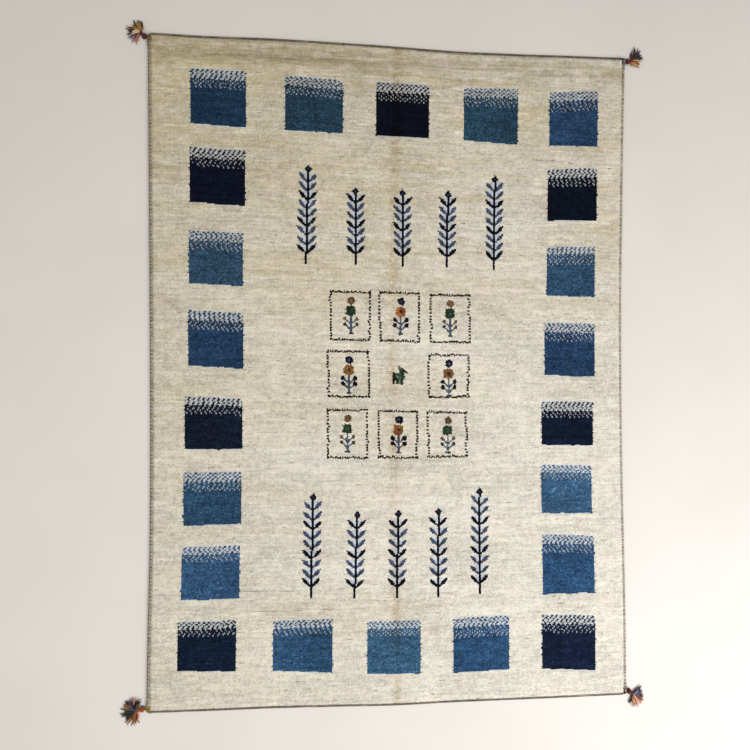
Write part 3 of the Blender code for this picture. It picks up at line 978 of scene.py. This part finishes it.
def smooth_path(points, steps=8):
    """A rounded line through a few points."""
    points = [points[0], *points, points[-1]]
    line = []
    for before, start, end, after in zip(points, points[1:], points[2:], points[3:]):
        for step in range(steps):
            t = step / steps
            line.append(0.5 * (2 * start + (end - before) * t
                               + (2 * before - 5 * start + 4 * end - after) * t * t
                               + (3 * start - before - 3 * end + after) * t * t * t))
    line.append(points[-2])
    return np.array(line)


def yarn(path, radii, twist=PLY_TWIST, sides=YARN_SIDES):
    """Points and faces of a two-ply yarn along a path, closed at both ends by its taper."""
    path = np.asarray(path)
    tangent = np.gradient(path, axis=0)
    tangent /= np.linalg.norm(tangent, axis=1)[:, None] + 1e-12
    up = np.array([0.0, 0.0, 1.0])
    side = np.cross(tangent, up)
    flat = np.linalg.norm(side, axis=1) < 0.2
    side[flat] = np.cross(tangent[flat], [1.0, 0.3, 0.0])
    side /= np.linalg.norm(side, axis=1)[:, None]
    rise = np.cross(side, tangent)
    run = np.concatenate([[0.0], np.cumsum(np.linalg.norm(np.diff(path, axis=0), axis=1))])
    angle = 2 * math.pi * np.arange(sides) / sides
    ply = 1 + PLY_DEPTH * np.cos(2 * (angle[None, :] + twist * run[:, None]))
    size = np.asarray(radii)[:, None] * ply
    rings = path[:, None] + (size * np.cos(angle))[..., None] * side[:, None]
    rings = rings + (size * np.sin(angle))[..., None] * rise[:, None]
    return rings.reshape(-1, 3), ring_faces(len(path), sides)


class Heap:
    """Collects tubes into one mesh."""

    def __init__(self):
        self.points, self.faces, self.colours, self.count = [], [], [], 0

    def add(self, tube, colour):
        points, faces = tube
        points[:, 2] = np.maximum(points[:, 2], 0.0)
        self.points.append(points)
        self.faces.append(faces + self.count)
        self.colours.append(np.tile(colour, (len(faces), 1)))
        self.count += len(points)

    def piece(self, name, material):
        mesh = array_mesh(name, np.concatenate(self.points), np.concatenate(self.faces),
                          np.concatenate(self.colours))
        return add_piece(name, mesh, material)


def tinted(name, draw):
    return linear(YARNS[name]) * draw.uniform(0.8, 1.2)


def add_wrap(heap, draw, side, end, wrap_y, colour):
    """Turns of yarn round the end of the side cord, and stitches from it over the pile's corner."""
    for turn in range(WRAP_TURNS + 3):
        loose = max(turn - WRAP_TURNS + 1, 0)
        y = wrap_y - end * ((turn - (WRAP_TURNS - 1) / 2) * 2.15 + 0.9 * loose * loose) * MM
        middle = float(cord_middle(side, y))
        angle = np.linspace(0, 2 * math.pi, 23)
        size = 1 + 0.05 * draw.uniform(-1, 1)
        path = np.stack([
            middle + 4.9 * MM * size * np.cos(angle),
            y + 0.7 * MM * np.cos(angle + draw.uniform(-0.6, 0.6)),
            np.maximum(4.0 * MM + 4.3 * MM * size * np.sin(angle), 1.0 * MM)], axis=-1)
        heap.add(yarn(path, np.full(len(path), WRAP_YARN)), tinted(colour, draw))
    for stitch in range(CORNER_STITCHES):
        y = wrap_y + (stitch - CORNER_STITCHES // 2) * 3.0 * MM
        middle = float(cord_middle(side, y))
        inward = draw.uniform(5.0, 9.5) * MM
        slip = draw.uniform(-2.5, 2.5) * MM
        line = [
            np.array([middle + side * 3.6 * MM, y, 5.2 * MM]),
            np.array([middle, y, 9.2 * MM]),
            np.array([middle - side * inward * 0.7, y + slip * 0.5, 12.2 * MM]),
            np.array([middle - side * inward, y + slip, 12.8 * MM]),
            np.array([middle - side * (inward + 2.2 * MM), y + slip * 1.2, 9.5 * MM])]
        path = even_path(smooth_path(line), YARN_STEP)
        heap.add(yarn(path, np.full(len(path), STITCH_YARN)), tinted(colour, draw))


def spine_point(points, share):
    """Place and direction on the curved spine from the rug's side to the tassel's root."""
    start, bend, root = points
    if share > 1.0:
        direction = (root - bend).normalized()
        return root + direction * (share - 1.0) * (root - start).length, direction
    place = start.lerp(bend, share).lerp(bend.lerp(root, share), share)
    direction = (bend - start).lerp(root - bend, share).normalized()
    return place, direction


def add_neck(heap, draw, spine, colours):
    """Yarns that run from the wrap through the knot to the root."""
    for number in range(NECK_YARNS):
        offset = (number - NECK_YARNS // 2) * 1.5 * MM
        line = []
        for share in (0.08, 0.3, 0.5, 0.75, 1.0, 1.15):
            place, direction = spine_point(spine, share)
            across = Vector((-direction.y, direction.x, 0))
            lift = 3.0 * MM + 1.8 * MM * math.cos(number * 2.1) + 1.2 * MM * share
            spread = 1.0 - 0.45 * math.sin(math.pi * min(share, 1.0))
            point = place + across * offset * spread
            line.append(np.array([point.x, point.y, lift + 1.0 * MM]))
        path = even_path(smooth_path(line), YARN_STEP)
        colour = tinted(colours[number % len(colours)], draw)
        heap.add(yarn(path, np.full(len(path), NECK_YARN)), colour)


def add_knot(heap, draw, spine, colour):
    """Yarn wound and tucked through itself round the neck."""
    place, direction = spine_point(spine, 0.55)
    across = Vector((-direction.y, direction.x, 0))
    for loop in range(2):
        angle = np.linspace(0, 4 * math.pi, 90)
        swing = 6.1 + 1.5 * np.cos(1.5 * angle + loop * 1.9)
        along = (2.5 * np.sin(1.5 * angle + loop * 1.9) + (loop - 0.5) * 2.2) * MM
        out = swing * np.cos(angle) * MM
        up = (5.4 + 0.72 * swing * np.sin(angle)) * MM
        up = np.maximum(up, 1.6 * MM)
        path = np.stack([
            place.x + across.x * out + direction.x * along,
            place.y + across.y * out + direction.y * along,
            up], axis=-1)
        heap.add(yarn(path, np.full(len(path), KNOT_YARN)), tinted(colour, draw))


def strand_path(draw, root, angle, curl, length, layer):
    """A loose end that drops from the root and lies on the floor or on the ends below it."""
    wobble = draw.uniform(-0.5, 0.5)
    rest = 1.6 * MM + layer * 2.9 * MM + draw.uniform(0, 3.6) * MM
    line = []
    heading = angle - curl * 0.35
    x = root[0] + 1.5 * MM * math.cos(angle) + draw.uniform(-1.2, 1.2) * MM
    y = root[1] + 1.5 * MM * math.sin(angle) + draw.uniform(-1.2, 1.2) * MM
    steps = 8
    for step in range(steps + 1):
        share = step / steps
        fall = min(share / 0.5, 1.0)
        z = (5.6 + 2.4 * layer) * MM * (1 - fall) ** 1.5 + rest * (1 - (1 - fall) ** 2)
        line.append(np.array([x, y, max(z, rest * min(1, 0.6 + share))]))
        heading += curl * 1.35 / steps + wobble * math.cos(2.6 * math.pi * share) * 2 / steps
        x += math.cos(heading) * length / steps
        y += math.sin(heading) * length / steps
    return even_path(smooth_path(line), YARN_STEP)


def add_frayed_tip(heap, draw, path, colour):
    """A few fine fibres that stand out of a cut end."""
    tip = path[-1]
    along = path[-1] - path[-3]
    along /= np.linalg.norm(along)
    for _ in range(FIBRES_PER_TIP):
        lean = along + 0.55 * draw.normal(0, 1, 3) * np.array([1, 1, 0.35])
        lean /= np.linalg.norm(lean)
        line = np.stack([tip + lean * reach_out * MM for reach_out in (-1.5, 0.8, 2.6)])
        line[:, 2] = np.maximum(line[:, 2], 0.3 * MM)
        heap.add(yarn(line, np.array([0.45, 0.32, 0.08]) * MM, sides=4), colour)


def make_tassel(row, material):
    name, side, end, wrap_y, root_x, root_y = row
    draw = np.random.default_rng(TASSEL_SEED + len(name) + 5 * side + 3 * end)
    wrap, knot, locks = TASSEL_LOCKS[name]
    heap = Heap()
    column = 1 if side < 0 else 2
    edge = side * (float(reach(SIDE_REACH, column, wrap_y * MM)) - CORD_WIDTH + TASSEL_GAP)
    root = Vector((root_x * MM, root_y * MM, 0.0))
    start = Vector((edge, wrap_y * MM, 0.0))
    bend = start + Vector((side, 0.0, 0.0)) * (root - start).length / 2
    spine = (start, bend, root)
    add_wrap(heap, draw, side, end, wrap_y * MM, wrap)
    add_neck(heap, draw, spine, (knot, wrap, locks[len(locks) // 2][-1]))
    add_knot(heap, draw, spine, knot)
    for angle, curl, length, layer, wool in locks:
        lock_wobble = draw.uniform(-0.12, 0.12)
        for number in range(STRANDS_PER_LOCK):
            colour = tinted(wool, draw)
            start_angle = math.radians(angle) + lock_wobble + draw.uniform(-0.24, 0.24)
            bent = math.radians(curl) * draw.uniform(0.4, 2.2)
            long = length * MM * draw.uniform(0.66, 1.0)
            path = strand_path(draw, root, start_angle, bent, long, layer)
            share = np.linspace(0, 1, len(path))
            radii = (1.2 + 0.45 * np.sin(math.pi * np.minimum(share * 1.15, 1.0)) ** 0.6) * MM
            radii[-1] *= 0.55
            heap.add(yarn(path, radii), colour)
            add_frayed_tip(heap, draw, path, colour)
    return heap.piece("yarn_" + name, material)


# Materials
def new_material(name):
    material = bpy.data.materials.new(name)
    material.use_nodes = True
    return material, material.node_tree.nodes, material.node_tree.links


def math_node(nodes, links, operation, first, second=None, third=None):
    made = nodes.new("ShaderNodeMath")
    made.operation = operation
    for place, value in enumerate((first, second, third)):
        if value is None:
            continue
        if isinstance(value, (int, float)):
            made.inputs[place].default_value = value
        else:
            links.new(value, made.inputs[place])
    return made.outputs[0]


def noise_node(nodes, links, vector, scale, detail=2.0):
    made = nodes.new("ShaderNodeTexNoise")
    made.inputs["Scale"].default_value = scale
    made.inputs["Detail"].default_value = detail
    links.new(vector, made.inputs["Vector"])
    return made.outputs["Fac"]


def wool_colour(nodes, links, shader, mottle_and_painted_shade):
    """Base colour: the knot's own wool, a little lighter and darker from fibre to fibre, and for pile and
    back also darkened by painted shade between knots.
    """
    wool = nodes.new("ShaderNodeVertexColor")
    wool.layer_name = "Wool"
    scaled = nodes.new("ShaderNodeVectorMath")
    scaled.operation = "SCALE"
    links.new(wool.outputs["Color"], scaled.inputs[0])
    links.new(mottle_and_painted_shade, scaled.inputs["Scale"])
    links.new(scaled.outputs[0], shader.inputs["Base Color"])


def wool_shader(nodes, roughness, sheen):
    shader = nodes["Principled BSDF"]
    shader.inputs["Roughness"].default_value = roughness
    shader.inputs["Sheen Weight"].default_value = sheen
    shader.inputs["Sheen Roughness"].default_value = 0.6
    shader.inputs["Specular IOR Level"].default_value = 0.04
    return shader


def add_bump(nodes, links, shader, height, distance, strength):
    bump = nodes.new("ShaderNodeBump")
    bump.inputs["Distance"].default_value = distance
    bump.inputs["Strength"].default_value = strength
    links.new(height, bump.inputs["Height"])
    links.new(bump.outputs["Normal"], shader.inputs["Normal"])


def object_place(nodes):
    return nodes.new("ShaderNodeTexCoord").outputs["Object"]


def pile_wool():
    """Cut wool pile: each knot is a small dome of fibres."""
    material, nodes, links = new_material("gabbeh_pile_wool")
    shader = wool_shader(nodes, 0.95, 0.0)
    place = object_place(nodes)
    fibre = noise_node(nodes, links, place, 1100.0, 3.0)
    tuft = noise_node(nodes, links, place, 300.0, 2.0)
    knots = nodes.new("ShaderNodeUVMap")
    knots.uv_map = "Knots"
    parts = nodes.new("ShaderNodeSeparateXYZ")
    links.new(knots.outputs[0], parts.inputs[0])
    domes = []
    for axis in range(2):
        inside = math_node(nodes, links, "FRACT", parts.outputs[axis])
        turned = math_node(nodes, links, "MULTIPLY", inside, math.pi)
        domes.append(math_node(nodes, links, "SINE", turned))
    dome = math_node(nodes, links, "SQRT", math_node(nodes, links, "MULTIPLY", *domes))
    height = math_node(nodes, links, "MULTIPLY_ADD", fibre, 0.7, dome)
    height = math_node(nodes, links, "MULTIPLY_ADD", tuft, 0.8, height)
    add_bump(nodes, links, shader, height, 0.8 * MM, 0.6)
    shade = math_node(nodes, links, "MULTIPLY_ADD", fibre, 0.30, 0.72)
    # Painted shade: each knot is darker towards its edges, where it meets its neighbours.
    shade = math_node(nodes, links, "MULTIPLY_ADD", dome, 0.12, shade)
    shade = math_node(nodes, links, "MULTIPLY_ADD", tuft, 0.16, shade)
    wool_colour(nodes, links, shader, shade)
    return material


def yarn_wool(name, scale, distance):
    """Spun wool: fine fibres and a little fuzz."""
    material, nodes, links = new_material(name)
    shader = wool_shader(nodes, 0.9, 0.15)
    place = object_place(nodes)
    fibre = noise_node(nodes, links, place, scale, 3.0)
    coarse = noise_node(nodes, links, place, scale / 4, 2.0)
    height = math_node(nodes, links, "ADD", fibre, coarse)
    add_bump(nodes, links, shader, height, distance, 0.6)
    shade = math_node(nodes, links, "MULTIPLY_ADD", fibre, 0.4, 0.6)
    shade = math_node(nodes, links, "MULTIPLY_ADD", coarse, 0.4, shade)
    wool_colour(nodes, links, shader, shade)
    return material


def back_weave():
    """The back of the knots: small bumps in rows."""
    material, nodes, links = new_material("gabbeh_back_weave")
    shader = wool_shader(nodes, 0.92, 0.08)
    place = object_place(nodes)
    parts = nodes.new("ShaderNodeSeparateXYZ")
    links.new(place, parts.inputs[0])
    bumps = []
    for axis, pitch in ((0, NOMINAL_HALF_WIDTH / KNOTS), (1, 2 * PILE_HALF_LENGTH / ROWS)):
        turned = math_node(nodes, links, "MULTIPLY", parts.outputs[axis], math.pi / pitch)
        bumps.append(math_node(nodes, links, "ABSOLUTE", math_node(nodes, links, "SINE", turned)))
    knots = math_node(nodes, links, "MULTIPLY", *bumps)
    fibre = noise_node(nodes, links, place, 900.0, 3.0)
    height = math_node(nodes, links, "MULTIPLY_ADD", fibre, 0.4, knots)
    add_bump(nodes, links, shader, height, 0.8 * MM, 0.7)
    # Painted shade: darker between the knots' bumps
    shade = math_node(nodes, links, "MULTIPLY_ADD", knots, 0.3, 0.75)
    wool_colour(nodes, links, shader, shade)
    return material


def pale_floor():
    material, nodes, links = new_material("pale_floor")
    shader = nodes["Principled BSDF"]
    shader.inputs["Roughness"].default_value = 0.55
    shader.inputs["Specular IOR Level"].default_value = 0.3
    cloudy = noise_node(nodes, links, object_place(nodes), 3.0, 2.0)
    ramp = nodes.new("ShaderNodeValToRGB")
    for element, colour in zip(ramp.color_ramp.elements, FLOOR_COLOURS):
        element.color = (*linear(colour), 1.0)
    links.new(cloudy, ramp.inputs[0])
    links.new(ramp.outputs[0], shader.inputs["Base Color"])
    return material


# The stage
FLOOR_HALF = 6.0
FLOOR_PLACE = -0.5 * MM
FLOOR_COLOURS = ((217, 211, 205), (226, 220, 214))
SURROUNDINGS = (1.0, 0.985, 0.95, 1.0)
SURROUNDINGS_STRENGTH = 0.46

# Lights: name, place, what each points at, size, power, colour
LIGHTS = (
    ("window_light", (2.1, -1.9, 2.7), (0.1, -0.2, 0.0), 2.2, 112.0, (0.97, 0.985, 1.0)),
    ("room_light", (-1.3, -0.6, 3.2), (-0.2, -0.3, 0.0), 2.2, 24.0, (1.0, 0.98, 0.94)),
)


def make_floor():
    signs = [(-1, -1), (1, -1), (1, 1), (-1, 1)]
    corners = [(x * FLOOR_HALF, y * FLOOR_HALF, FLOOR_PLACE) for x, y in signs]
    mesh = bpy.data.meshes.new("floor")
    mesh.from_pydata(corners, [], [(0, 1, 2, 3)])
    return add_piece("floor", mesh, pale_floor())


def add_area_light(name, place, target, size, power, colour):
    data = bpy.data.lights.new(name, "AREA")
    data.shape = "SQUARE"
    data.size = size
    data.energy = power
    data.color = colour
    made = bpy.data.objects.new(name, data)
    made.location = place
    made.rotation_euler = (Vector(target) - Vector(place)).to_track_quat("-Z", "Y").to_euler()
    bpy.context.collection.objects.link(made)


def light_stage():
    bpy.context.scene.view_settings.view_transform = "Standard"
    world = bpy.data.worlds.new("pale_surroundings")
    world.use_nodes = True
    background = world.node_tree.nodes["Background"]
    background.inputs[0].default_value = SURROUNDINGS
    background.inputs[1].default_value = SURROUNDINGS_STRENGTH
    bpy.context.scene.world = world
    for light in LIGHTS:
        add_area_light(*light)


def add_camera():
    data = bpy.data.cameras.new("camera")
    data.sensor_fit = "HORIZONTAL"
    data.sensor_width = SENSOR_WIDTH
    data.lens = CAMERA_LENS
    data.clip_start = 0.01
    made = bpy.data.objects.new("camera", data)
    axes = Matrix((CAMERA_RIGHT, CAMERA_UP, CAMERA_BACK)).transposed().to_4x4()
    made.matrix_world = Matrix.Translation(CAMERA_PLACE) @ axes
    bpy.context.collection.objects.link(made)
    bpy.context.scene.camera = made


def dress(piece, slot, *nodes):
    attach(piece, "root")
    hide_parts(*nodes)
    return piece


def main():
    chart = weavers_chart()
    wool = pile_wool()
    cord_yarn = yarn_wool("overcast_yarn", 1400.0, 0.5 * MM)
    tassel_yarn = yarn_wool("tassel_yarn_wool", 1200.0, 0.5 * MM)
    foundation = dress(make_foundation(chart, back_weave()), "pile", "rug_body")
    parts = [dress(strip, "pile", "rug_body") for strip in make_pile(chart, pile_corners(), wool)]
    parts.append(dress(make_rim(chart, yarn_wool("rim_wool", 1200.0, 0.4 * MM)), "pile", "rug_body"))
    hem_yarn = yarn_wool("hem_yarn", 1500.0, 0.4 * MM)
    for place, end in (("bottom", -1), ("top", 1)):
        parts.append(dress(make_hem(f"hem_weave_{place}", end, hem_yarn), "pile", "rug_body"))
    for place, side in (("left", -1), ("right", 1)):
        cord = make_side_cord(f"side_cord_{place}", side, cord_yarn)
        parts.append(dress(cord, "side_cord", f"selvedge_{place}"))
    for row in TASSELS:
        parts.append(dress(make_tassel(row, tassel_yarn), "tassel_yarn", row[0]))
    floor = make_floor()
    light_stage()
    add_camera()


main()
